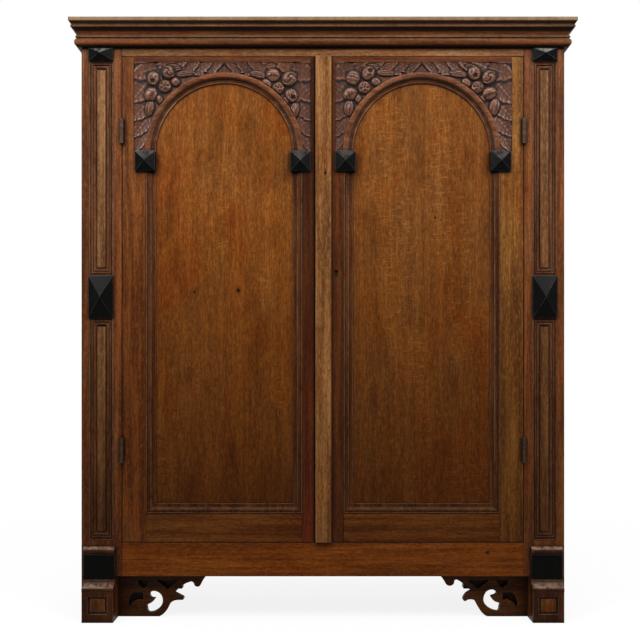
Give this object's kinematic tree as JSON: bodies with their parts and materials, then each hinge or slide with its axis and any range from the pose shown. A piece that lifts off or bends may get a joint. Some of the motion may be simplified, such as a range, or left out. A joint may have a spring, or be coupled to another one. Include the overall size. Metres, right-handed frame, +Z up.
{
  "type": "cupboard",
  "caption": "Tall two-door linen cupboard with a moulded cornice, arched panelled doors with carved corners, ebonised bosses, a lock, shoot bolts and inner shelves.",
  "frame": {"origin": "on the floor, under the middle of the overall box of the cupboard", "axes": "+Z up; the doors face -Y; +X to the right of someone who faces the doors"},
  "size_m": [1.512, 0.568, 1.799],
  "materials": {
    "frame_oak": "stained, satin",
    "panel_oak": "stained, satin",
    "light_oak": "waxed, satin",
    "moulding_oak": "stained, worn, satin",
    "carved_oak": "stained, polished",
    "ebonised_wood": "ebonised, semi-gloss",
    "carcass_wood": "unfinished, matt",
    "hinge_iron": "patinated",
    "lock_iron": "patinated",
    "bolt_brass": "dulled"
  },
  "bodies": {
    "carcass": {"front_post_left": "frame_oak", "front_post_right": "frame_oak", "rear_post_left": "frame_oak", "rear_post_right": "frame_oak", "top_rail": "frame_oak", "plinth_rail": "frame_oak", "rear_rails": "carcass_wood", "side_rails": "frame_oak", "side_panels": "panel_oak", "back_boards": "carcass_wood", "bottom_board": "carcass_wood", "top_board": "frame_oak", "cornice_front": "moulding_oak", "cornice_return_left": "moulding_oak", "cornice_return_right": "moulding_oak", "lower_shelf": "carcass_wood", "middle_shelf": "carcass_wood", "upper_shelf": "carcass_wood", "shelf_cleats": "carcass_wood", "post_mouldings": "moulding_oak", "post_strips": "light_oak", "left_post_bosses": "ebonised_wood", "right_post_bosses": "ebonised_wood", "foot_block_left": "frame_oak", "foot_block_right": "frame_oak", "foot_panels": "ebonised_wood", "foot_tablets": "carved_oak", "bracket_left": "frame_oak", "bracket_right": "frame_oak", "glue_blocks": "carcass_wood", "hinge_frame_leaves": "hinge_iron", "hinge_pins": "hinge_iron"},
    "left_door": {"left_door_hinge_stile": "frame_oak", "left_door_meeting_stile": "frame_oak", "left_door_bottom_rail": "frame_oak", "left_door_head": "frame_oak", "left_door_panel": "panel_oak", "left_door_moulding": "moulding_oak", "left_door_archivolt": "moulding_oak", "left_door_carving": "carved_oak", "left_door_bosses": "ebonised_wood", "left_door_hinge_leaves": "hinge_iron", "lock_keep": "lock_iron", "shoot_bolt_guides": "bolt_brass"},
    "right_door": {"right_door_hinge_stile": "frame_oak", "right_door_meeting_stile": "frame_oak", "right_door_bottom_rail": "frame_oak", "right_door_head": "frame_oak", "right_door_panel": "panel_oak", "right_door_moulding": "moulding_oak", "right_door_archivolt": "moulding_oak", "right_door_carving": "carved_oak", "right_door_bosses": "ebonised_wood", "right_door_hinge_leaves": "hinge_iron", "meeting_strip": "light_oak", "lock_case": "lock_iron"},
    "lock_bolt": {"lock_bolt": "lock_iron"},
    "upper_bolt": {"upper_bolt": "bolt_brass"},
    "lower_bolt": {"lower_bolt": "bolt_brass"}
  },
  "joints": [
    {"name": "left_door_hinge", "type": "hinge", "parent": "carcass", "child": "left_door", "pos_m": [-0.6022, -0.2588, 0.962], "axis": [0, 0, -1], "range_deg": [0, 110]},
    {"name": "right_door_hinge", "type": "hinge", "parent": "carcass", "child": "right_door", "pos_m": [0.6022, -0.2588, 0.962], "axis": [0, 0, 1], "range_deg": [0, 110]},
    {"name": "lock_bolt_slide", "type": "slide", "parent": "right_door", "child": "lock_bolt", "axis": [-1, 0, 0], "range_m": [0, 0.012]},
    {"name": "upper_bolt_slide", "type": "slide", "parent": "left_door", "child": "upper_bolt", "axis": [0, 0, 1], "range_m": [0, 0.012]},
    {"name": "lower_bolt_slide", "type": "slide", "parent": "left_door", "child": "lower_bolt", "axis": [0, 0, -1], "range_m": [0, 0.012]}
  ]
}
